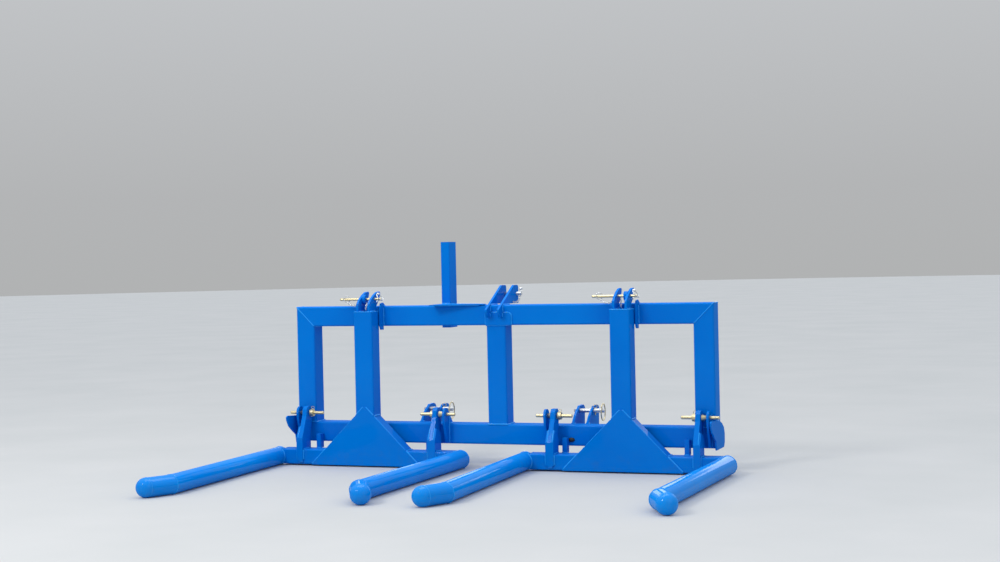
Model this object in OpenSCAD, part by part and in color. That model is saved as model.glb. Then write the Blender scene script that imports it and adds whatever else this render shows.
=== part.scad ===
// Twin round-bale carrier for a tractor's three-point linkage.
// A welded rectangular main frame carries two equal bale forks side by side.
// Each fork is a mast on a cross-beam with two round lifting tubes, and hangs
// on two pins in plates behind the frame's lower beam. Stop pads below the
// pins bear on the lower beam and hold the fork level; on uneven ground the
// tube tips can rise until the mast reaches the upper beam.
// X runs across the machine, +Y points to the tractor, Z is up, Z = 0 is the
// ground under the tubes. Lengths below are measured from the main frame's
// rear face; placed() then moves the whole machine so that its middle stands
// over the origin.

/* [Main frame] */
// Overall width of the main frame over its end posts
frame_w = 2316; // [2280:2:2400]
// Height of the main frame from the lower beam's underside to the upper beam's top
frame_h = 729; // [700:1:740]
// Height of the lower beam's underside above the ground
frame_z = 118; // [114:1:122]
// Outer size of the square tube of beams, posts and masts
tube_s = 106; // [100:1:110]
// Outside corner radius of the square tube
tube_r = 10; // [6:1:15]
// Top of the tall post above the ground
tall_post_top = 1183; // [1000:10:1300]

/* [Bale forks] */
// Distance from the machine's centre line to each fork's centre line
fork_x = 705; // [700:1:708]
// Centre distance of the two lifting tubes of one fork at its cross-beam
bale_tube_gap = 1054; // [1044:2:1070]
// Outer diameter of the lifting tubes
bale_tube_d = 95; // [88:0.1:102]
// Distance from the frame's rear face back to the mitred joint of the tube tips
tube_reach = 1260; // [900:10:1500]
// Length of the tube tips from the mitre to the middle of the domed end
tip_l = 135; // [90:5:180]
// Angle at which the tube tips turn outwards
tip_angle = 26; // [10:1:35]
// Angle at which the tubes draw together towards the tips
toe_in = 1.5; // [0:0.1:3]
// Clear distance between the mast and the frame's rear face
mast_gap = 25; // [25:1:30]

/* [Pins and linkage] */
// Diameter of the fork hinge pins
hinge_pin_d = 18; // [16:0.5:28]
// Diameter of the fork's top pin
top_pin_d = 14; // [12:0.5:25]
// Hole diameter of the lower hitch plates
lower_hole_d = 22.5; // [20:0.1:30]
// Distance between the centres of the two lower hitch points
lower_spread = 850; // [800:5:900]
// Hole diameter of the top link plates
top_hole_d = 19.5; // [16:0.1:26]

/* [Hidden] */
$fn = 48;

blue = [0.02, 0.28, 0.75];
zinc = [0.80, 0.74, 0.52];
far = 4000;

// main frame
half_w = frame_w / 2;
lower_z1 = frame_z + tube_s;          // top of the lower beam
upper_z1 = frame_z + frame_h;         // top of the upper beam
upper_z0 = upper_z1 - tube_s;         // underside of the upper beam

// bale forks
tube_rad = bale_tube_d / 2;
tube_x = bale_tube_gap / 2;
mast_y1 = -mast_gap;                  // front of mast and cross-beam
mast_d = 100;                         // depth of mast and cross-beam
mast_y0 = mast_y1 - mast_d;           // rear of mast and cross-beam
beam_z0 = 7.5;                        // cross-beam, underside and top
beam_z1 = 87.5;
mast_top = 822;
skin = 8;                             // thickness of gusset sheet

// pins of the forks, all along X
hinge_y = -36;
hinge_z = 276;
top_y = -50;
top_z = 886;
run_c = 0.05;                         // radial clearance of every pin
pin_rad = hinge_pin_d / 2;

// tractor side coupling points
link_y = 222;
link_z = 900;
hitch_y = 180;
hitch_z = 284;

// the two ends of the whole machine, and the shift that centres it
front_y = 275;
rear_y = -tube_reach - tip_l * cos(tip_angle) - tube_rad - 0.4;
y0 = -(front_y + rear_y) / 2;

// ---- helpers ----------------------------------------------------------------

// points of an arc about c
function arc(c, r, a0, a1, n) =
  [for (i = [0 : n]) let (a = a0 + (a1 - a0) * i / n) [c[0] + r * cos(a), c[1] + r * sin(a)]];

// outline of a w by h rectangular tube with rounded corners, from [0, 0]
function tube_outline(w, h, r) = concat(
  arc([w - r, h - r], r, 0, 90, 5), arc([r, h - r], r, 90, 180, 5),
  arc([r, r], r, 180, 270, 5), arc([w - r, r], r, 270, 360, 5));

// bar along X with its corner at y, z
module bar_x(x0, x1, y, z, w, h, r) {
  translate([x0, y, z]) rotate([90, 0, 90]) linear_extrude(x1 - x0) polygon(tube_outline(w, h, r));
}

// upright bar with its corner at x, y
module bar_z(x, y, z0, z1, w, d, r) {
  translate([x, y, z0]) linear_extrude(z1 - z0) polygon(tube_outline(w, d, r));
}

// plate of thickness t in the Y-Z plane, centred on x, outline pts = [y, z]
module plate_x(x, t, pts) {
  translate([x - t / 2, 0, 0]) rotate([90, 0, 90]) linear_extrude(t) polygon(pts);
}

// plate of thickness t in the X-Z plane, rear face at y, outline pts = [x, z]
module plate_y(y, t, pts) {
  translate([0, y + t, 0]) rotate([90, 0, 0]) linear_extrude(t) polygon(pts);
}

module hole_x(y, z, d) {
  translate([-far / 2, y, z]) rotate([0, 90, 0]) cylinder(d = d, h = far);
}

// whole machine, moved so that its middle stands over the origin
module placed() { translate([0, y0, 0]) children(); }
// s is -1 for the left side and 1 for the right
module side(s) { if (s < 0) mirror([1, 0, 0]) children(); else children(); }

// ---- main frame ---------------------------------------------------------------

module upper_beam() {
  color(blue) placed() intersection() {
    bar_x(-half_w, half_w, 0, upper_z0, tube_s, tube_s, tube_r);
    // mitred at 45 degrees onto both end posts
    plate_y(-tube_s, 3 * tube_s, [[-half_w, upper_z1], [half_w, upper_z1],
      [half_w - tube_s, upper_z0], [-half_w + tube_s, upper_z0]]);
  }
}

module lower_beam() {
  color(blue) placed() bar_x(-half_w, half_w, 0, frame_z, tube_s, tube_s, tube_r);
}

module end_post(s) {
  color(blue) placed() side(s) intersection() {
    bar_z(half_w - tube_s, 0, lower_z1, upper_z1, tube_s, tube_s, tube_r);
    plate_y(-tube_s, 3 * tube_s, [[half_w - tube_s, lower_z1], [half_w, lower_z1],
      [half_w, upper_z1], [half_w - tube_s, upper_z0]]);
  }
}

module centre_post() {
  color(blue) placed() bar_z(-tube_s / 2, 0, lower_z1, upper_z0, tube_s, tube_s, tube_r);
}

// tall post: 50 x 100 tube on the front of the upper beam, left of the centre
tall_x = -345;
tall_w = 50;
module tall_post() {
  color(blue) placed() bar_z(tall_x, tube_s, upper_z0 - 15, tall_post_top, tall_w, 100, 6);
}

// flat wing on top of the upper beam that ties the tall post back
module post_gusset() {
  color(blue) placed() translate([0, 0, upper_z1]) linear_extrude(6)
    polygon([[-60, 0], [tall_x, -70], [tall_x, tube_s], [tall_x + tall_w, tube_s], [-60, 22]]);
}

// coupling plates for the tractor's top link: two ears that lean forward over the beam
module top_link_plates() {
  color(blue) placed() difference() {
    for (s = [-1, 1]) plate_x(s * 34, 12, concat(
      [[0, base_top], [-8, base_top], [-8, 782], [-34, 782], [-50, 798], [-57, 812], [-56, 825], [184, 946]],
      arc([234, 930], 16, 90, 0, 4),
      [[250, upper_z1 + 3], [tube_s - tube_r, upper_z1 + 3], [tube_s - tube_r, upper_z1]],
      arc([tube_r, upper_z1 - tube_r], tube_r, 90, 180, 5)));
    hole_x(link_y, link_z, top_hole_d);
  }
}

// doubler on the beam's rear face that the ears stand on
base_top = 807;
module link_base_plate() {
  color(blue) placed() plate_y(-8, 8, [[-55, upper_z0], [87, upper_z0], [87, base_top - 12], [75, base_top],
    [-55, base_top]]);
}

// lower coupling points: two forward-leaning plates on the lower beam's front.
// Columns: place of the plate from the middle of the hitch point
lower_hitch_rows = [-39, 39];
module lower_hitch(s) {
  color(blue) placed() side(s) difference() {
    for (dx = lower_hitch_rows) plate_x(lower_spread / 2 + dx, 12, [[tube_s, 130], [tube_s, lower_z1],
      [72, lower_z1], [112, 264], [142, 285], [169, 297], [184, 308], [242, 310], [262, 304],
      [275, 290], [270, 250], [268, 205], [235, 160], [180, 132]]);
    hole_x(hitch_y, hitch_z, lower_hole_d);
  }
}

// plates that hold the forks' hinge pins. Columns: distance from the fork's
// centre line, and how far the plate's foot reaches over the beam's top
hinge_rows = [[-425.5, 55], [425.5, 0]];
module hinge_plates(s) {
  color(blue) placed() side(s) difference() {
    for (r = hinge_rows) plate_x(fork_x + r[0], 12, concat(
      [[0, 120], [-30, 126], [-64, 236]],
      arc([hinge_y, hinge_z], 34, 198, 48, 10),
      r[1] > 0 ? [[0, 282], [r[1], lower_z1], [0, lower_z1]] : [[0, 296]]));
    hole_x(hinge_y, hinge_z, hinge_pin_d + 2 * run_c);
  }
}

// plates beside the mast on the upper beam, hooked over its top
module mast_guides(s) {
  color(blue) placed() side(s) for (k = [-1, 1])
    plate_x(fork_x + k * 62.5, 8, [[0, 722], [-30, 722], [-42, upper_z0], [-42, 835],
      [-30, 862], [0, 866], [30, upper_z1], [0, upper_z1]]);
}

// shaped plate on the outside of each lower corner
module end_plate(s) {
  color(blue) placed() side(s) plate_x(half_w + 4, 8, [[-22, 112], [-30, 155], [-72, 180],
    [-113, 209], [-134, 241], [-138, 258], [-122, 266], [-53, 261], [20, 257], [57, 250],
    [101, 237], [144, 212], [160, 180], [158, 135], [140, 112]]);
}

// ---- bale forks (built on the right, mirrored to the left) ------------------------

// the two lifting tubes. Columns: -1 for the inner and 1 for the outer tube,
// place of the front end from the frame's rear face
tube_rows = [[-1, -85], [1, -85]];

// frame of a lifting tube: the origin is where its middle line meets the mitre
module at_mitre(s, k) {
  placed() side(s) translate([fork_x + k * (tube_x - (tube_reach + (mast_y0 + mast_y1) / 2) * tan(toe_in)),
    -tube_reach, tube_rad]) children();
}

// straight run of a lifting tube, 60 mm longer than its mitre
module tube_run(k, root) {
  rotate([0, 0, -k * toe_in]) rotate([90, 0, 0]) translate([0, 0, -(tube_reach + root) / cos(toe_in)])
    cylinder(r = tube_rad, h = (tube_reach + root) / cos(toe_in) + 60);
}

module lifting_tube(s, row) {
  k = row[0];
  color(blue) at_mitre(s, k) difference() {
    tube_run(k, row[1]);
    rotate([0, 0, k * (tip_angle - toe_in) / 2]) translate([-200, -400, -200]) cube([400, 400, 400]);
  }
}

// domed end piece, welded on at the mitre and turned outwards
module tube_tip(s, row) {
  k = row[0];
  color(blue) at_mitre(s, k) difference() {
    rotate([0, 0, k * tip_angle]) rotate([90, 0, 0]) union() {
      translate([0, 0, -60]) cylinder(r = tube_rad, h = 60 + tip_l);
      intersection() {
        translate([0, 0, tip_l]) sphere(r = tube_rad + 0.4);
        translate([0, 0, tip_l - 30]) cylinder(r = tube_rad, h = 90);
      }
    }
    rotate([0, 0, k * (tip_angle - toe_in) / 2]) translate([-200, 0, -200]) cube([400, 400, 400]);
  }
}

module cross_beam(s) {
  color(blue) placed() side(s) difference() {
    bar_x(fork_x - tube_x, fork_x + tube_x, mast_y0, beam_z0, mast_d, beam_z1 - beam_z0, 8);
    for (k = [-1, 1])
      translate([fork_x + k * (tube_x - (tube_reach + (mast_y0 + mast_y1) / 2) * tan(toe_in)), -tube_reach, tube_rad])
        tube_run(k, 200);
  }
}

module mast(s) {
  color(blue) placed() side(s) bar_z(fork_x - tube_s / 2, mast_y0, beam_z1, mast_top, tube_s, mast_d, tube_r);
}

// triangular plate over the mast's foot, with a sloping flange on either side
gus_top = 323;
gus_reach = gus_top - beam_z1;
module gusset(s) {
  color(blue) placed() side(s) translate([fork_x, 0, 0]) {
    plate_y(mast_y0 - skin, skin, [[beam_z0 - gus_top, beam_z0], [gus_top - beam_z0, beam_z0],
      [5, gus_top - 5], [-5, gus_top - 5]]);
    for (k = [-1, 1]) side(k) plate_y(mast_y0, 80, [[tube_s / 2, gus_top - tube_s / 2],
      [tube_s / 2, gus_top - tube_s / 2 - 11], [gus_reach - 11, beam_z1], [gus_reach, beam_z1]]);
  }
}

// plates that carry the hinge pins, lapped over the rear of the cross-beam
lug_x = 378.5;
lug_t = 25;
// thicker foot of each plate. Columns: side, middle from the fork's centre line, thickness
foot_rows = [[-1, 380.5, 43], [1, 384, 36]];
module hinge_lugs(s) {
  color(blue) placed() side(s) difference() {
    for (row = foot_rows) {
      k = row[0];
      plate_x(fork_x + k * lug_x, lug_t, concat(
        [[mast_y0, 22], [mast_y0 - 9, 22], [mast_y0 - 9, 148], [-80, 262], [-74, 296], [-58, 312], [-22, 312]],
        arc([hinge_y, hinge_z], 27, 45, -30, 5),
        [[-14, 236], [-34, 158], [-34, beam_z1], [mast_y0, beam_z1]]));
      plate_x(fork_x + k * row[1], row[2], [[mast_y0, 30], [mast_y0 - 9, 30], [mast_y0 - 9, 148],
        [-104, 205], [-60, 190], [-45, 158], [-45, beam_z1], [mast_y0, beam_z1]]);
    }
    hole_x(hinge_y, hinge_z, hinge_pin_d + 2 * run_c);
  }
}

// pads between fork and lower beam, places from the fork's centre line
pad_rows = [-327.5, 313.5];
module stop_pads(s) {
  color(blue) placed() side(s) for (x = pad_rows)
    translate([fork_x + x - 12, -45, beam_z1]) cube([24, 40, 163 - beam_z1]);
}

// lugs on top of the mast for the fork's own top pin; the outer one has a boss on its inner side
module top_lugs(s) {
  color(blue) placed() side(s) difference() {
    union() {
      for (k = [-1, 1]) plate_x(fork_x + k * 32.5, 12, [[-118, mast_top], [-117, 862], [-95, 884],
        [-52, 908], [-14, 923], [16, 926], [26, 918], [20, 900], [-12, 862], [-38, 842], [-45, mast_top]]);
      translate([fork_x + 9, top_y, top_z]) rotate([0, 90, 0]) cylinder(r = 24, h = 20);
    }
    hole_x(top_y, top_z, top_pin_d + 2 * run_c);
  }
}

// hinge pin: shaft through lug and plate, collar and cone on either side of the lug
module hinge_pins(s) {
  color(zinc) placed() side(s) for (k = [-1, 1])
    translate([fork_x, hinge_y, hinge_z]) side(k) rotate([0, 90, 0]) rotate_extrude() polygon([
      [0, 285], [pin_rad - 2, 285], [pin_rad, 288], [pin_rad, 343], [19, 343], [19, 363], [pin_rad, 363],
      [pin_rad, 391.5], [18, 391.5], [pin_rad + 1, 417], [pin_rad, 417],
      [pin_rad, 477], [pin_rad - 2, 480], [0, 480]]);
}

// top pin, stored in its lugs; it points the same way on both forks
module top_pin(s) {
  color(zinc) placed() translate([s * fork_x, top_y, top_z]) rotate([0, 90, 0])
    rotate_extrude() polygon([[0, -162], [top_pin_d / 2 - 1.5, -162], [top_pin_d / 2, -159],
      [top_pin_d / 2, 72], [top_pin_d / 2 - 1.5, 75], [0, 75]]);
}

upper_beam();
lower_beam();
end_post(-1);  // end_post_left
end_post(1);  // end_post_right
centre_post();
tall_post();
post_gusset();
top_link_plates();
link_base_plate();
lower_hitch(-1);  // lower_hitch_left
lower_hitch(1);  // lower_hitch_right
hinge_plates(-1);  // hinge_plates_left
hinge_plates(1);  // hinge_plates_right
mast_guides(-1);  // mast_guides_left
mast_guides(1);  // mast_guides_right
end_plate(-1);  // end_plate_left
end_plate(1);  // end_plate_right
lifting_tube(-1, tube_rows[0]);  // left_inner_tube
lifting_tube(-1, tube_rows[1]);  // left_outer_tube
tube_tip(-1, tube_rows[0]);  // left_inner_tip
tube_tip(-1, tube_rows[1]);  // left_outer_tip
cross_beam(-1);  // left_cross_beam
mast(-1);  // left_mast
gusset(-1);  // left_gusset
hinge_lugs(-1);  // left_hinge_lugs
stop_pads(-1);  // left_stop_pads
top_lugs(-1);  // left_top_lugs
hinge_pins(-1);  // left_hinge_pins
top_pin(-1);  // left_top_pin
lifting_tube(1, tube_rows[0]);  // right_inner_tube
lifting_tube(1, tube_rows[1]);  // right_outer_tube
tube_tip(1, tube_rows[0]);  // right_inner_tip
tube_tip(1, tube_rows[1]);  // right_outer_tip
cross_beam(1);  // right_cross_beam
mast(1);  // right_mast
gusset(1);  // right_gusset
hinge_lugs(1);  // right_hinge_lugs
stop_pads(1);  // right_stop_pads
top_lugs(1);  // right_top_lugs
hinge_pins(1);  // right_hinge_pins
top_pin(1);  // right_top_pin
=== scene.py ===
"""Looks of the twin round-bale carrier: paint, welds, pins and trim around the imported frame."""

import math
import random

import bpy
from mathutils import Matrix, Vector


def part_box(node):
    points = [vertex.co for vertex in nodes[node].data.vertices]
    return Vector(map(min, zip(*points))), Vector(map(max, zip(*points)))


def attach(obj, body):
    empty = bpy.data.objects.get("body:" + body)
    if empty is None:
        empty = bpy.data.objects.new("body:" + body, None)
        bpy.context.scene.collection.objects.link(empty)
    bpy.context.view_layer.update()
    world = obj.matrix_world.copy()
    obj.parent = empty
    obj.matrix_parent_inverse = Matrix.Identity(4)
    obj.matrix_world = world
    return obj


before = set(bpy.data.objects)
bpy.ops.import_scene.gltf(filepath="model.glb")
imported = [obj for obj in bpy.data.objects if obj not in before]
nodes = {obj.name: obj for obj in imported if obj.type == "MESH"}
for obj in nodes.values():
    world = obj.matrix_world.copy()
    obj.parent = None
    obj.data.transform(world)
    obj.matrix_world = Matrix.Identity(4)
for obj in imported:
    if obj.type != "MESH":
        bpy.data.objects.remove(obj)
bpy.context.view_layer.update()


scene = bpy.context.scene

# The main frame's rear face is the plane that all places below are measured from.
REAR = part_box("lower_beam")[0].y


def P(x, y, z):
    """A point given in mm: x across, y ahead of the frame's rear face, z above the ground."""
    return Vector((x / 1000.0, REAR + y / 1000.0, z / 1000.0))


# ---------------------------------------------------------------- camera
# Solved from the photograph: focal length 1672 px on a 1000 px wide frame.
FOCAL_PX = 1672.3
YAW, PITCH, ROLL = math.radians(20.21), math.radians(-0.809), math.radians(1.243)
EYE = P(3036.4, -8169.4, 1094.3)

cam_data = bpy.data.cameras.new("camera")
cam = bpy.data.objects.new("camera", cam_data)
scene.collection.objects.link(cam)
cam_data.sensor_fit = "HORIZONTAL"
cam_data.sensor_width = 36.0
cam_data.lens = FOCAL_PX / 1000.0 * 36.0
cam_data.clip_start, cam_data.clip_end = 0.05, 200.0
ahead = Vector((-math.sin(YAW) * math.cos(PITCH), math.cos(YAW) * math.cos(PITCH), math.sin(PITCH)))
right = Vector((math.cos(YAW), math.sin(YAW), 0.0))
up = right.cross(ahead)
cr, sr = math.cos(ROLL), math.sin(ROLL)
cam_x, cam_y = right * cr - up * sr, right * sr + up * cr
m = Matrix((cam_x, cam_y, -ahead)).transposed().to_4x4()
m.translation = EYE
cam.matrix_world = m
scene.camera = cam

# ---------------------------------------------------------------- materials


def lin(r, g, b):
    """sRGB 0..255 to a linear colour."""
    def f(v):
        v /= 255.0
        return v / 12.92 if v <= 0.04045 else ((v + 0.055) / 1.055) ** 2.4
    return (f(r), f(g), f(b), 1.0)


class Mat:
    """Short way to write a node material."""

    def __init__(self, name):
        self.m = bpy.data.materials.new(name)
        self.m.use_nodes = True
        self.t = self.m.node_tree
        self.t.nodes.clear()
        self.out = self.t.nodes.new("ShaderNodeOutputMaterial")
        self.bsdf = self.t.nodes.new("ShaderNodeBsdfPrincipled")
        self.t.links.new(self.bsdf.outputs["BSDF"], self.out.inputs["Surface"])
        self.coord = self.t.nodes.new("ShaderNodeTexCoord").outputs["Object"]
        self.geo = self.t.nodes.new("ShaderNodeNewGeometry")

    def set(self, **kw):
        for k, v in kw.items():
            self.bsdf.inputs[k.replace("_", " ")].default_value = v

    def link(self, a, b):
        self.t.links.new(a, b)

    def noise(self, scale, detail=4.0, rough=0.55, vector=None, stretch=None):
        v = vector or self.coord
        if stretch:
            mp = self.t.nodes.new("ShaderNodeMapping")
            mp.inputs["Scale"].default_value = stretch
            self.link(v, mp.inputs["Vector"])
            v = mp.outputs["Vector"]
        n = self.t.nodes.new("ShaderNodeTexNoise")
        n.inputs["Scale"].default_value = scale
        n.inputs["Detail"].default_value = detail
        n.inputs["Roughness"].default_value = rough
        self.link(v, n.inputs["Vector"])
        return n.outputs["Fac"]

    def ramp(self, fac, *stops):
        r = self.t.nodes.new("ShaderNodeValToRGB")
        els = r.color_ramp.elements
        while len(els) < len(stops):
            els.new(0.5)
        for e, (p, c) in zip(els, stops):
            e.position = p
            e.color = c if len(c) == 4 else (*c, 1.0)
        self.link(fac, r.inputs["Fac"])
        return r.outputs["Color"]

    def math(self, op, a, b=None, clamp=False):
        n = self.t.nodes.new("ShaderNodeMath")
        n.operation = op
        n.use_clamp = clamp
        for i, v in enumerate((a, b)):
            if v is None:
                continue
            if isinstance(v, (int, float)):
                n.inputs[i].default_value = v
            else:
                self.link(v, n.inputs[i])
        return n.outputs[0]

    def mapr(self, v, a, b, c, d):
        n = self.t.nodes.new("ShaderNodeMapRange")
        self.link(v, n.inputs["Value"])
        for k, x in zip(("From Min", "From Max", "To Min", "To Max"), (a, b, c, d)):
            n.inputs[k].default_value = x
        return n.outputs["Result"]

    def mix(self, fac, a, b):
        n = self.t.nodes.new("ShaderNodeMix")
        n.data_type = "RGBA"
        for sock, v in ((n.inputs[0], fac), (n.inputs[6], a), (n.inputs[7], b)):
            if isinstance(v, (int, float)):
                sock.default_value = v
            elif isinstance(v, tuple):
                sock.default_value = v
            else:
                self.link(v, sock)
        return n.outputs[2]

    def xyz(self, v):
        n = self.t.nodes.new("ShaderNodeSeparateXYZ")
        self.link(v, n.inputs[0])
        return n.outputs

    def bevel(self, radius, samples=4):
        n = self.t.nodes.new("ShaderNodeBevel")
        n.inputs["Radius"].default_value = radius
        n.samples = samples
        return n

    def bump(self, height, distance, strength=1.0, normal=None):
        n = self.t.nodes.new("ShaderNodeBump")
        n.inputs["Distance"].default_value = distance
        n.inputs["Strength"].default_value = strength
        self.link(height, n.inputs["Height"])
        if normal is not None:
            self.link(normal, n.inputs["Normal"])
        return n.outputs["Normal"]


def paint(name, edge=0.0022, rub=0.0, tone=((0, 110, 205), (0, 118, 211)), coat=0.12):
    """Glossy blue machine enamel: faint tone drift, orange peel, dust, a painted highlight along the edges, grass
    marks near the ground.
    """
    k = Mat(name)
    k.set(Coat_Weight=coat, Coat_Roughness=0.06, Specular_IOR_Level=0.0)
    drift = k.noise(2.3, 3.0)
    base = k.ramp(drift, (0.32, lin(*tone[0])), (0.68, lin(*tone[1])))
    # painted highlight along edges: a lighter blue is mixed in where the edges would catch light
    bev = k.bevel(edge, 4)
    dot = k.t.nodes.new("ShaderNodeVectorMath")
    dot.operation = "DOT_PRODUCT"
    k.link(bev.outputs["Normal"], dot.inputs[0])
    k.link(k.geo.outputs["Normal"], dot.inputs[1])
    edge_highlight_and_chip_mask = k.mapr(dot.outputs["Value"], 0.985, 0.86, 0.0, 1.0)
    edge_highlight_and_chip_mask = k.math("MULTIPLY", edge_highlight_and_chip_mask, k.mapr(k.noise(38.0, 5.0, 0.65), 0.35, 0.62, 0.35, 1.0), clamp=True)
    # painted highlight: edges mixed towards a lighter blue
    col = k.mix(k.math("MULTIPLY", edge_highlight_and_chip_mask, 0.40), base, lin(58, 152, 232))
    # bare spots where the corners are knocked
    chips = k.mapr(k.noise(95.0, 6.0, 0.7), 0.655, 0.69, 0.0, 1.0)
    chips = k.math("MULTIPLY", chips, edge_highlight_and_chip_mask, clamp=True)
    col = k.mix(k.math("MULTIPLY", chips, 0.30), col, lin(150, 140, 130))
    # dust settles on faces that look up
    nz = k.xyz(k.geo.outputs["Normal"])[2]
    dust = k.math("MULTIPLY", k.mapr(nz, 0.35, 0.95, 0.0, 1.0), k.mapr(k.noise(9.0, 6.0, 0.62), 0.38, 0.72, 0.05, 1.0), clamp=True)
    col = k.mix(k.math("MULTIPLY", dust, 0.05), col, lin(176, 186, 186))
    # dried grass juice and soil low down
    z = k.xyz(k.coord)[2]
    low = k.mapr(z, 0.155, 0.0, 0.0, 1.0)
    soil = k.math("MULTIPLY", low, k.mapr(k.noise(26.0, 7.0, 0.68), 0.50, 0.70, 0.0, 1.0), clamp=True)
    col = k.mix(k.math("MULTIPLY", soil, 0.13 + rub), col, lin(92, 96, 62))
    k.link(col, k.bsdf.inputs["Base Color"])
    # gloss: smears and fine scratches
    smear = k.mapr(k.noise(14.0, 5.0, 0.6), 0.3, 0.75, 0.20, 0.36)
    scr = k.mapr(k.noise(60.0, 3.0, 0.5, stretch=(1.0, 0.07, 9.0)), 0.60, 0.66, 0.0, 0.13)
    rough = k.math("ADD", k.math("ADD", smear, scr), k.math("MULTIPLY", k.math("ADD", soil, dust), 0.22), clamp=True)
    k.link(rough, k.bsdf.inputs["Roughness"])
    peel = k.noise(420.0, 2.0, 0.5)
    wave = k.noise(21.0, 2.0, 0.5)
    n1 = k.bump(peel, 0.00011, 0.55, bev.outputs["Normal"])
    n2 = k.bump(wave, 0.0011, 0.35, n1)
    k.link(n2, k.bsdf.inputs["Normal"])
    return k.m


def metal(name, tint, tint2, rough=(0.28, 0.46), rust=0.25, lathe=True, white=None):
    """Plated steel with cloudy plating, turning marks and a few rust freckles."""
    k = Mat(name)
    k.set(Metallic=0.92, Specular_IOR_Level=0.5)
    cloud = k.noise(55.0, 5.0, 0.6)
    col = k.ramp(cloud, (0.30, tint), (0.52, tint2), (0.74, tint))
    freck = k.mapr(k.noise(160.0, 7.0, 0.72), 0.60, 0.72, 0.0, 1.0)
    col = k.mix(k.math("MULTIPLY", freck, rust, clamp=True), col, lin(122, 82, 48))
    k.link(col, k.bsdf.inputs["Base Color"])
    k.link(k.mapr(k.noise(34.0, 5.0), 0.3, 0.7, *rough), k.bsdf.inputs["Roughness"])
    bev = k.bevel(0.0012, 4)
    n = bev.outputs["Normal"]
    if lathe:
        n = k.bump(k.noise(900.0, 2.0, 0.5, stretch=(1.0, 0.02, 0.02)), 0.00012, 0.5, n)
    n = k.bump(k.noise(190.0, 4.0, 0.6), 0.0002, 0.5, n)
    k.link(n, k.bsdf.inputs["Normal"])
    return k.m


def plastic(name, tone, tone2, rough=(0.38, 0.6)):
    k = Mat(name)
    k.link(k.ramp(k.noise(60.0, 4.0), (0.35, tone), (0.7, tone2)), k.bsdf.inputs["Base Color"])
    k.link(k.mapr(k.noise(40.0, 5.0), 0.3, 0.7, *rough), k.bsdf.inputs["Roughness"])
    k.link(k.bump(k.noise(520.0, 3.0), 0.00015, 0.6), k.bsdf.inputs["Normal"])
    return k.m


PAINT = paint("blue_enamel")
PAINT_THIN = paint("blue_enamel_plate", edge=0.0014)
PAINT_TUBE = paint("blue_enamel_tube", edge=0.0020, rub=0.03, tone=((0, 125, 218), (0, 135, 226)), coat=0.34)
# painted glint: weld beads carry the same blue paint as the frame, drawn in a lighter blue so the seams show as light
# lines
WELD_PAINTED_GLINT = paint("blue_enamel_weld_painted_glint", edge=0.0008, tone=((18, 140, 227), (38, 156, 235)), coat=0.5)
GOLD = metal("yellow_zinc", lin(224, 208, 158), lin(206, 194, 160), rust=0.20)
SILVER = metal("bright_zinc", lin(224, 225, 222), lin(200, 203, 204), rust=0.13)
BLACK = plastic("black_plastic", lin(20, 19, 24), lin(38, 36, 42))

THIN = ("gusset", "plates", "plate", "guides", "lugs", "pads", "hitch", "wing")
for name, ob in nodes.items():
    if "pin" in name:
        mat = GOLD
    elif name.endswith(("_tube", "_tip")):
        mat = PAINT_TUBE
    elif any(w in name for w in THIN):
        mat = PAINT_THIN
    else:
        mat = PAINT
    ob.data.materials.clear()
    ob.data.materials.append(mat)

# ---------------------------------------------------------------- mesh tools


class Soup:
    """Gathers many small closed shapes into one mesh."""

    def __init__(self):
        self.v, self.f = [], []

    def add(self, verts, faces):
        o = len(self.v)
        self.v += [tuple(p) for p in verts]
        self.f += [tuple(o + i for i in f) for f in faces]

    def make(self, name, body, mat, slot="paint", smooth=True, angle=None):
        me = bpy.data.meshes.new(name)
        # beads round the lifting tubes are flattened where the tubes lie on the ground
        me.from_pydata([(x, y, max(z, 0.0003)) for x, y, z in self.v], [], self.f)
        me.update()
        if smooth:
            me.polygons.foreach_set("use_smooth", [True] * len(me.polygons))
            if angle is not None:
                me.set_sharp_from_angle(angle=math.radians(angle))
        me.materials.append(mat)
        ob = bpy.data.objects.new(name, me)
        scene.collection.objects.link(ob)
        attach(ob, body)
        return ob


def resample(pts, step, closed=False):
    """Points along a polyline, evenly spaced."""
    pts = [Vector(p) for p in pts]
    if closed:
        pts = pts + [pts[0]]
    lens = [(b - a).length for a, b in zip(pts, pts[1:])]
    total = sum(lens)
    n = max(2, round(total / step))
    out, i, done = [], 0, 0.0
    for k in range(n + (0 if closed else 1)):
        s = total * k / n
        while i < len(lens) - 1 and s > done + lens[i]:
            done += lens[i]
            i += 1
        t = (s - done) / lens[i] if lens[i] else 0.0
        out.append(pts[i].lerp(pts[i + 1], min(1.0, max(0.0, t))))
    return out


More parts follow.
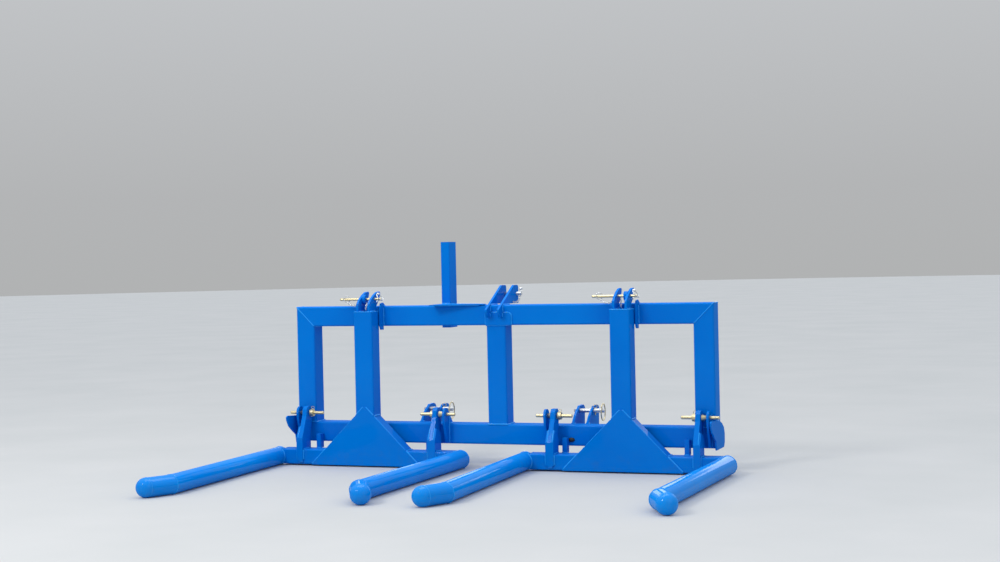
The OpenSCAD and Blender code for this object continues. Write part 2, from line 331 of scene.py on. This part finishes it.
def sweep(soup, pts, radius, sides=8, closed=False, blunt=0.5, flat=1.0, flat_dir=None):
    """A round rod along pts, closed at its ends. radius is a number or a function of the place along it, 0..1."""
    n = len(pts)
    verts, rings = [], []
    ref = None
    for i, p in enumerate(pts):
        a = pts[(i - 1) % n] if closed or i > 0 else pts[0]
        b = pts[(i + 1) % n] if closed or i < n - 1 else pts[-1]
        t = (b - a)
        t = t.normalized() if t.length > 1e-9 else Vector((0, 0, 1))
        if ref is None:
            ref = t.orthogonal().normalized() if flat_dir is None else flat_dir.copy()
        ref = (ref - t * ref.dot(t))
        ref = ref.normalized() if ref.length > 1e-6 else t.orthogonal().normalized()
        side = t.cross(ref).normalized()
        r = radius(i / max(1, n - 1)) if callable(radius) else radius
        rings.append(len(verts))
        for k in range(sides):
            an = 2 * math.pi * k / sides
            verts.append(p + ref * (math.cos(an) * r * flat) + side * (math.sin(an) * r))
    faces = []
    m = n if closed else n - 1
    for i in range(m):
        a, b = rings[i], rings[(i + 1) % n]
        for k in range(sides):
            k2 = (k + 1) % sides
            faces.append((a + k, a + k2, b + k2, b + k))
    if not closed:
        for end, ring, sign in ((pts[0], rings[0], -1), (pts[-1], rings[-1], 1)):
            q = pts[1] if sign < 0 else pts[-2]
            t = (end - q).normalized()
            r = radius(0.0 if sign < 0 else 1.0) if callable(radius) else radius
            c = len(verts)
            verts.append(end + t * r * blunt)
            for k in range(sides):
                k2 = (k + 1) % sides
                faces.append((ring + k2, ring + k, c) if sign < 0 else (ring + k, ring + k2, c))
    soup.add(verts, faces)


rng = random.Random(7)


def bead(soup, pts, r=4.5, closed=False, pitch=4.2):
    """A weld bead: overlapping scales along a seam. r and pitch in mm, pts in metres."""
    line = resample(pts, pitch / 3000.0, closed)
    n = len(line)
    phase, drift = rng.random() * 6.28, rng.random() * 50
    out = []
    for i, p in enumerate(line):
        s = i * pitch / 3000.0
        w = 0.00035 * math.sin(s * 190 + drift) + 0.0002 * math.sin(s * 470 + phase)
        out.append(p + Vector((w, w * 0.4, -w * 0.5)))
    radii = []
    for i in range(n):
        ripple = 0.12 * abs(math.sin(math.pi * (i + phase) / 3.0)) + 0.05 * math.sin(i * 0.21 + drift)
        ends = 1.0
        if not closed:
            ends = min(1.0, 0.45 + 0.25 * min(i, n - 1 - i))
        radii.append(r / 1000.0 * (0.9 + ripple) * ends)
    sweep(soup, out, lambda t: radii[min(n - 1, round(t * (n - 1)))], sides=7, closed=closed, blunt=0.7)


def rect(x0, x1, y0, y1, z):
    """Corner points of a rectangle at height z."""
    return [P(x0, y0, z), P(x1, y0, z), P(x1, y1, z), P(x0, y1, z)]


# ---------------------------------------------------------------- welds: main frame
W = Soup()
LOW1, UP0, UP1 = 224, 741, 847
for x0, x1 in ((-53, 53), (1052, 1156), (-1156, -1052)):
    bead(W, rect(x0, x1, 0.5, 105.5, LOW1), 4.0, closed=True)
bead(W, rect(-53, 53, 0.5, 105.5, UP0), 4.0, closed=True)
for s in (-1, 1):
    # mitre seam between upper beam and end post, round all four faces
    a, b = (s * 1054, 743), (s * 1157, 846)
    bead(W, [P(a[0], -0.3, a[1]), P(b[0], -0.3, b[1])], 2.6)
    bead(W, [P(a[0], 106.3, a[1]), P(b[0], 106.3, b[1])], 2.6)
    bead(W, [P(a[0], 8, a[1] - 2), P(a[0], 98, a[1] - 2)], 4.0)
    bead(W, [P(b[0] - s, 8, b[1]), P(b[0] - s, 98, b[1])], 2.6)
    # lower hitch plates on the lower beam's front
    for dx in (-39, 39):
        for e in (-7, 7):
            x = s * (425 + dx) + e
            bead(W, [P(x, 107.5, 134), P(x, 107.5, 218)], 4.5)
            bead(W, [P(x, 75, LOW1 + 1.5), P(x, 102, LOW1 + 1.5)], 4.0)
    # hinge plates
    for x, foot in ((705 - 425.5, True), (705 + 425.5, False)):
        for e in (-7, 7):
            bead(W, [P(s * x + e, -1.5, 124), P(s * x + e, -1.5, 280 if foot else 292)], 4.5)
            if foot:
                bead(W, [P(s * x + e, 4, LOW1 + 1.5), P(s * x + e, 50, LOW1 + 1.5)], 4.0)
    # mast guides
    for k in (-1, 1):
        x = s * 705 + k * 62.5
        bead(W, [P(x + k * 5, -1.5, 745), P(x + k * 5, -1.5, 838)], 4.0)
        for e in (-5, 5):
            bead(W, [P(x + e, 4, UP1 + 1.5), P(x + e, 27, UP1 + 1.5)], 3.4)
    # end plates: stitched under the beam, up its faces and along the post's side
    bead(W, [P(s * 1156, 6, 116.8), P(s * 1156, 100, 116.8)], 3.4)
    bead(W, [P(s * 1156.5, 107, 122), P(s * 1156.5, 107, 236)], 4.0)
    bead(W, [P(s * 1156.5, -1, 122), P(s * 1156.5, -1, 257)], 4.0)
    bead(W, [P(s * 1158.8, 6, 260), P(s * 1158.8, 57, 252.5), P(s * 1158.8, 98, 240.5)], 3.4)
# top link: base plate and ears
bead(W, [P(-56, -3, 743), P(-56, -3, 806), ], 3.4)
bead(W, [P(88, -3, 743), P(88, -3, 795), P(76, -3, 808)], 3.6)
bead(W, [P(-55, -4, 808), P(-42, -4, 808)], 3.4)
bead(W, [P(-26, -5, 808.5), P(26, -5, 808.5)], 3.4)
bead(W, [P(42, -4, 808), P(74, -4, 808)], 3.6)
for x in (-34, 34):
    for e in (-7, 7):
        bead(W, [P(x + e, -9.5, 785), P(x + e, -9.5, 806)], 3.6)
        bead(W, [P(x + e, -1.5, 810), P(x + e, -1.5, 843)], 4.0)
        bead(W, [P(x + e, 3, UP1 + 1.5), P(x + e, 103, UP1 + 1.5)], 4.2)
# tall post and its wing
bead(W, [P(-346, 107, 746), P(-346, 107, 842)], 4.0)
bead(W, [P(-294, 107, 746), P(-294, 107, 842)], 4.0)
bead(W, [P(-343, 105, UP1 + 7), P(-297, 105, UP1 + 7)], 4.0)
bead(W, [P(-60, 1, UP1 + 2), P(-60, 20, UP1 + 2)], 3.0)
bead(W, [P(-70, 25, UP1 + 3), P(-288, 103, UP1 + 3)], 4.2)
bead(W, [P(-92, -1, UP1 - 1), P(-340, -1, UP1 - 1)], 3.4)
W.make("welds_frame", "main_frame", WELD_PAINTED_GLINT)

# ---------------------------------------------------------------- welds: forks
BY0, BY1, BZ0, BZ1 = -125, -25, 7.5, 87.5
TUBE_R, ROOT = 47.5, -85
TOE, TIP, KINK, TIPL, HALF = math.radians(1.5), math.radians(26), 1260.0, 135.0, 527.0


def tube_x(k, y):
    """Distance of a lifting tube's middle line from the fork's centre line at y."""
    return k * (HALF - (-75 - y) * math.tan(TOE))


def ring(c, axis, r, n=64):
    """Circle of radius r about c, square to axis. Metres."""
    axis = axis.normalized()
    u = axis.orthogonal().normalized()
    v = axis.cross(u)
    return [c + u * (math.cos(2 * math.pi * i / n) * r) + v * (math.sin(2 * math.pi * i / n) * r) for i in range(n)]


for s, body in ((-1, "fork_left"), (1, "fork_right")):
    W = Soup()

    def Q(x, y, z):
        return P(s * (705 + x), y, z)

    # mast foot, gusset plate and flanges
    bead(W, [Q(-54, BY1 - 4, BZ1 + 1.5), Q(-54, -44, BZ1 + 1.5)], 4.5)
    bead(W, [Q(54, BY1 - 4, BZ1 + 1.5), Q(54, -44, BZ1 + 1.5)], 4.5)
    bead(W, [Q(-48, BY1 - 0.5, BZ1), Q(48, BY1 - 0.5, BZ1)], 4.0)
    for k in (-1, 1):
        # along the slope on the mast, then down on the beam's rear face
        bead(W, [Q(k * 7, -126.5, 318), Q(k * 50, -126.5, 275)], 4.2)
        bead(W, [Q(k * 238, -127, 87), Q(k * 313, -127, 12)], 4.6)
        bead(W, [Q(k * 53.5, -122, 272), Q(k * 53.5, -47, 272)], 4.5)
        bead(W, [Q(k * 237.5, -122, BZ1 + 1.5), Q(k * 237.5, -47, BZ1 + 1.5)], 4.5)
        bead(W, [Q(k * 56, -126, 268), Q(k * 230, -126, 94)], 2.2)
        # hinge lugs on the cross-beam
        for x in ((358, 403) if k < 0 else (365, 403)):
            bead(W, [Q(k * x, BY0 - 1.5, 33), Q(k * x, BY0 - 1.5, 85)], 4.6)
            bead(W, [Q(k * x, BY0 + 4, BZ1 + 1.5), Q(k * x, -47, BZ1 + 1.5)], 4.6)
        bead(W, [Q(k * 368, -33, BZ1 + 1.5), Q(k * 389, -33, BZ1 + 1.5)], 4.2)
        bead(W, [Q(k * 368, BY0 - 4, 20.8), Q(k * 389, BY0 - 4, 20.8)], 3.6)
        # upper edge of the thicker foot on either side of the plate
        for x in ((364.5, 392.5) if k < 0 else (392.5,)):
            bead(W, [Q(k * x, -133, 150), Q(k * x, -104, 206), Q(k * x, -62, 192)], 3.4)
        # stop pads
        pad = -327.5 if k < 0 else 313.5
        bead(W, [Q(pad - 12, -44, BZ1 + 1), Q(pad + 12, -44, BZ1 + 1)], 4.0)
        for e in (-12.5, 12.5):
            bead(W, [Q(pad + e, -44, BZ1 + 1), Q(pad + e, -27, BZ1 + 1)], 4.0)
        # top lugs
        for e in (-7, 7):
            bead(W, [Q(k * 32.5 + e, -112, 823.5), Q(k * 32.5 + e, -47, 823.5)], 3.8)
        # saddle seam of the cross-beam on each lifting tube, rear, top and front
        r = TUBE_R + 0.5
        pts = []
        for i in range(13):
            z = BZ0 + 2 + (BZ1 - BZ0 - 4) * i / 12
            dz = z - TUBE_R
            pts.append(Q(tube_x(k, BY0) - k * math.sqrt(max(0.0, r * r - dz * dz)), BY0 - 1, z))
        bead(W, pts, 4.2)
        dz = BZ1 - TUBE_R
        bead(W, [Q(tube_x(k, y) - k * (math.sqrt(r * r - dz * dz) + 0.5), y, BZ1 + 0.5) for y in (BY0 + 2, ROOT - 2)], 4.2)
        # tube end cap, mitre seam and dome seam
        along = Vector((s * k * math.sin(TOE), math.cos(TOE), 0))
        bead(W, ring(Q(tube_x(k, ROOT), ROOT, TUBE_R) + along * -0.0012, along, 0.0471), 2.4, closed=True)
        kink = Q(tube_x(k, -KINK), -KINK, TUBE_R)
        mid = k * (TIP - TOE) / 2
        half = (TIP + TOE) / 2
        normal = Vector((-s * math.sin(mid), math.cos(mid), 0)).normalized()
        normal = Vector((s * math.sin(mid), -math.cos(mid), 0))
        side_dir = Vector((math.cos(mid), s * math.sin(mid), 0))
        pts = []
        for i in range(72):
            an = 2 * math.pi * i / 72
            pts.append(kink + side_dir * (math.cos(an) * (TUBE_R + 0.1) / 1000 / math.cos(half)) + Vector((0, 0, math.sin(an) * (TUBE_R + 0.1) / 1000)))
        bead(W, pts, 2.6, closed=True)
        out = Vector((s * k * math.sin(TIP), -math.cos(TIP), 0))
        bead(W, ring(kink + out * ((TIPL - 6) / 1000), out, (TUBE_R - 0.2) / 1000), 1.8, closed=True)
    # mast cap
    bead(W, [Q(-46, BY0 + 1, 821), Q(46, BY0 + 1, 821), Q(52, BY0 + 7, 821), Q(52, BY1 - 7, 821), Q(46, BY1 - 1, 821),
             Q(-46, BY1 - 1, 821), Q(-52, BY1 - 7, 821), Q(-52, BY0 + 7, 821)], 2.4, closed=True)
    W.make("welds_" + body, body, WELD_PAINTED_GLINT)

# ---------------------------------------------------------------- linchpins, rings and chains


def torus(soup, c, axis, r, wire, n=40, sides=8, a0=0.0, a1=360.0, squash=1.0, up_dir=None):
    """Ring of wire about axis. Whole when a1 - a0 is 360."""
    axis = axis.normalized()
    u = (up_dir or axis.orthogonal()).normalized()
    u = (u - axis * u.dot(axis)).normalized()
    v = axis.cross(u)
    whole = abs(a1 - a0 - 360) < 1e-6
    pts = []
    for i in range(n if whole else n + 1):
        an = math.radians(a0 + (a1 - a0) * i / n)
        pts.append(c + u * (math.cos(an) * r) + v * (math.sin(an) * r * squash))
    sweep(soup, pts, wire, sides=sides, closed=whole)


def linchpin(soup, c, axis, down, shaft=4.0, length=48.0, loop=21.0, swing=None):
    """Linchpin through a shaft at c: a peg across the shaft and its spring ring round the end. mm."""
    axis, down = axis.normalized(), down.normalized()
    top = c - down * (0.020)
    peg = [top + down * (length / 1000 * t / 8) for t in range(9)]
    sweep(soup, peg, shaft / 1000, sides=12, blunt=0.6)
    # head that the ring is hooked into
    head = [top - down * 0.009 + axis * (-0.004), top - down * 0.009 + axis * 0.009]
    sweep(soup, resample(head, 0.003), 0.0062, sides=12, blunt=0.4)
    if swing is None:
        torus(soup, c + axis * 0.0085, axis.cross(down) * 0.25 + axis, loop / 1000, 0.0021, n=44, up_dir=-down)
    else:
        # ring not quite shut: it leans from the head past the shaft's end
        swing = swing.normalized()
        torus(soup, top - down * 0.009 + swing * (loop / 1000), swing.cross(Vector((0.1, 1, 0))), loop / 1000, 0.0023, n=44, up_dir=-swing)


def link(soup, c, along, flat, length=15.0, width=10.0, wire=1.5):
    """One oval chain link, mm."""
    along = along.normalized()
    flat = (flat - along * flat.dot(along)).normalized()
    a, b = (length - width) / 2000, width / 2000 - wire / 1000
    pts = []
    for i in range(20):
        an = 2 * math.pi * i / 20
        x, y = math.cos(an), math.sin(an)
        pts.append(c + along * (x * b + (a if x > 0 else -a if x < 0 else 0)) + flat * (y * b))
    sweep(soup, pts, wire / 1000, sides=6, closed=True)


def chain(soup, a, b, sag, pitch=11.0, wire=1.5):
    """Short chain from a to b that hangs sag mm below the straight line."""
    pts = [a.lerp(b, t / 40) + Vector((0, 0, -4 * sag / 1000 * (t / 40) * (1 - t / 40))) for t in range(41)]
    line = resample(pts, pitch / 1000)
    for i in range(len(line) - 1):
        d = line[i + 1] - line[i]
        other = Vector((0, 1, 0)) if abs(d.normalized().y) < 0.8 else Vector((1, 0, 0))
        flat = other if i % 2 == 0 else d.cross(other)
        link(soup, (line[i] + line[i + 1]) / 2, d, flat, width=8.5 + wire, wire=wire)


X = Vector((1, 0, 0))
Z = Vector((0, 0, 1))
HY, HZ = -36, 276
for s, body in ((-1, "fork_left"), (1, "fork_right")):
    G, S = Soup(), Soup()
    for k in (-1, 1):
        # roll pin through each collar, with a small pull ring on its upper end
        c = P(s * 705 + s * k * 353, HY, HZ)
        tilt = Vector((0, 0.35, 1)).normalized()
        sweep(G, [c + tilt * (0.0015 * t - 0.0225) for t in range(31)], 0.0028, sides=12, blunt=0.4)
        torus(G, c + tilt * 0.027, Vector((-0.345, 0.94, 0)), 0.0075, 0.0013, n=32)
    # top pin: pull ring near its left end, linchpin on its right, keeper chain between the lugs
    tx = s * 705
    torus(S, P(tx - 123, -50, 888), Vector((-0.345, 0.94, 0)), 0.0165, 0.0024, n=44)
    linchpin(S, P(tx + 54, -50, 886), X, Vector((0, -0.3, -1)), shaft=3.0, length=38, loop=22.0, swing=Vector((0.6, -0.2, -0.77)))
    chain(S, P(tx - 12, -48, 878), P(tx - 4, -70, 828), 4, wire=2.1)
    chain(S, P(tx - 119, -56, 872), P(tx - 41, -86, 862), 14, wire=1.9)
    G.make("linchpins_" + body, body, GOLD, slot="zinc")
    S.make("chains_" + body, body, SILVER, slot="zinc")

# linkage pins parked in the frame's lower and upper coupling points
G, S = Soup(), Soup()


def shaft(soup, x0, x1, y, z, r, n=40):
    """Pin along X with chamfered ends."""
    prof = [(x0, r - 2.5), (x0 + 3, r), (x1 - 3, r), (x1, r - 2.5)]
    verts, faces = [P(x0, y, z)], []
    for x, rr in prof:
        for k in range(n):
            an = 2 * math.pi * k / n
            verts.append(P(x, y + math.cos(an) * rr, z + math.sin(an) * rr))
    for i in range(len(prof) - 1):
        a, b = 1 + i * n, 1 + (i + 1) * n
        for k in range(n):
            k2 = (k + 1) % n
            faces.append((a + k, b + k, b + k2, a + k2))
    last = len(verts)
    verts.append(P(x1, y, z))
    for k in range(n):
        k2 = (k + 1) % n
        faces.append((0, 1 + k, 1 + k2))
        faces.append((last, 1 + (len(prof) - 1) * n + k2, 1 + (len(prof) - 1) * n + k))
    soup.add(verts, faces)


for s in (-1, 1):
    # the left pin is the right one's copy: it points the same way
    x = s * 425
    shaft(S, x - 62, x + 104, 180, 284, 11.0)
    torus(G, P(x + 95, 180, 277), Vector((1, 0.05, 0)), 0.044, 0.0032, n=64, up_dir=Z)
    torus(G, P(x + 52, 180, 306), Vector((-0.345, 0.94, 0)), 0.010, 0.0018, n=36, up_dir=Z)
    sweep(G, [P(x + 52, 180, 262 + 1.2 * t) for t in range(30)], 0.0034, sides=12, blunt=0.5)
shaft(S, -58, 70, 222, 900, 9.5)
linchpin(S, P(58, 222, 900), X, Vector((0, -0.5, -1)), shaft=3.2, length=38, loop=16.0)
torus(S, P(-53, 222, 889), Vector((1, 0.2, 0)), 0.015, 0.0024, n=40, up_dir=Z)
chain(S, P(62, 214, 876), P(44, 152, 858), 10)
G.make("linkage_linchpins", "main_frame", GOLD, slot="zinc")
S.make("linkage_pins", "main_frame", SILVER, slot="zinc")

# small black oval plug in the lower beam's rear face
K = Soup()
rings_n, rim = 10, 40
verts, faces = [], []
prof = [(1.0, 0.0), (1.0, 3.0), (0.94, 5.4), (0.80, 7.2), (0.55, 8.4), (0.25, 9.0)]
for f, d in prof:
    for i in range(rim):
        an = 2 * math.pi * i / rim
        verts.append(P(401 + math.cos(an) * 19 * f, -d, 150 + math.sin(an) * 11 * f))
for j in range(len(prof) - 1):
    for i in range(rim):
        i2 = (i + 1) % rim
        faces.append((j * rim + i, j * rim + i2, (j + 1) * rim + i2, (j + 1) * rim + i))
c0 = len(verts)
verts += [P(401, 0, 150), P(401, -9.1, 150)]
for i in range(rim):
    i2 = (i + 1) % rim
    faces.append((i2, i, c0))
    faces.append(((len(prof) - 1) * rim + i, (len(prof) - 1) * rim + i2, c0 + 1))
K.add(verts, faces)
K.make("beam_plug", "main_frame", BLACK, slot="paint")

# ---------------------------------------------------------------- studio
floor_me = bpy.data.meshes.new("studio_floor")
R, STEPS = 60.0, 96
floor_me.from_pydata([(0, 0, 0)] + [(R * math.cos(2 * math.pi * i / STEPS), R * math.sin(2 * math.pi * i / STEPS), 0) for i in range(STEPS)],
                     [], [(0, 1 + i, 1 + (i + 1) % STEPS) for i in range(STEPS)])
floor = bpy.data.objects.new("studio_floor", floor_me)
scene.collection.objects.link(floor)
floor.location = (0, 0, -0.0006)
k = Mat("floor_pale")
k.set(Specular_IOR_Level=0.25)
k.link(k.ramp(k.noise(1.1, 3.0), (0.3, lin(213, 214, 213)), (0.7, lin(219, 219, 218))), k.bsdf.inputs["Base Color"])
k.link(k.mapr(k.noise(30.0, 4.0), 0.3, 0.7, 0.78, 0.92), k.bsdf.inputs["Roughness"])
floor_me.materials.append(k.m)

world = bpy.data.worlds.new("studio")
scene.world = world
world.use_nodes = True
wt = world.node_tree
wt.nodes.clear()
wo = wt.nodes.new("ShaderNodeOutputWorld")
bg = wt.nodes.new("ShaderNodeBackground")
bg.inputs["Strength"].default_value = 0.78
co = wt.nodes.new("ShaderNodeTexCoord")
sep = wt.nodes.new("ShaderNodeSeparateXYZ")
rp = wt.nodes.new("ShaderNodeValToRGB")
wt.links.new(co.outputs["Generated"], sep.inputs[0])
mr = wt.nodes.new("ShaderNodeMapRange")
mr.inputs["From Min"].default_value = -1.0
mr.inputs["From Max"].default_value = 1.0
wt.links.new(sep.outputs[2], mr.inputs["Value"])
wt.links.new(mr.outputs["Result"], rp.inputs["Fac"])
els = rp.color_ramp.elements
els[0].position, els[0].color = 0.47, (0.55, 0.56, 0.56, 1)
els[1].position, els[1].color = 0.85, (1.16, 1.22, 1.30, 1)
e = els.new(0.52)
e.color = (0.58, 0.59, 0.60, 1)
wt.links.new(rp.outputs["Color"], bg.inputs["Color"])
wt.links.new(bg.outputs["Background"], wo.inputs["Surface"])


def soft(name, loc, target, size, power, colour=(1, 1, 1)):
    data = bpy.data.lights.new(name, "AREA")
    data.shape = "RECTANGLE"
    data.size, data.size_y = size
    data.energy = power
    data.color = colour
    ob = bpy.data.objects.new(name, data)
    scene.collection.objects.link(ob)
    d = Vector(target) - Vector(loc)
    ob.rotation_mode = "QUATERNION"
    ob.rotation_quaternion = d.to_track_quat("-Z", "Y")
    ob.location = loc
    return ob


soft("key", (-3.2, -6.2, 5.6), (0.2, 0.2, 0.4), (2.2, 1.8), 215, (1.0, 0.98, 0.95))
top = soft("top", (-0.5, 0.8, 5.6), (0.0, 0.3, 0.3), (5.0, 3.0), 170)
soft("fill", (5.5, -4.0, 3.2), (0.0, 0.2, 0.4), (3.0, 3.0), 25, (0.93, 0.96, 1.0))
# long low light beyond the machine, for the bright streaks along tubes and upper edges
streak = soft("streak", (-1.0, 8.8, 2.0), (0.0, 0.0, 0.45), (8.0, 1.4), 100, (0.90, 0.96, 1.0))
streak.visible_camera = False
# these two leave the floor alone, so that the floor stays even
off = bpy.data.collections.new("lights_leave_out")
off.objects.link(floor)
for lamp in (top, streak):
    lamp.light_linking.receiver_collection = off
off.collection_objects[0].light_linking.link_state = "EXCLUDE"

scene.view_settings.view_transform = "Standard"
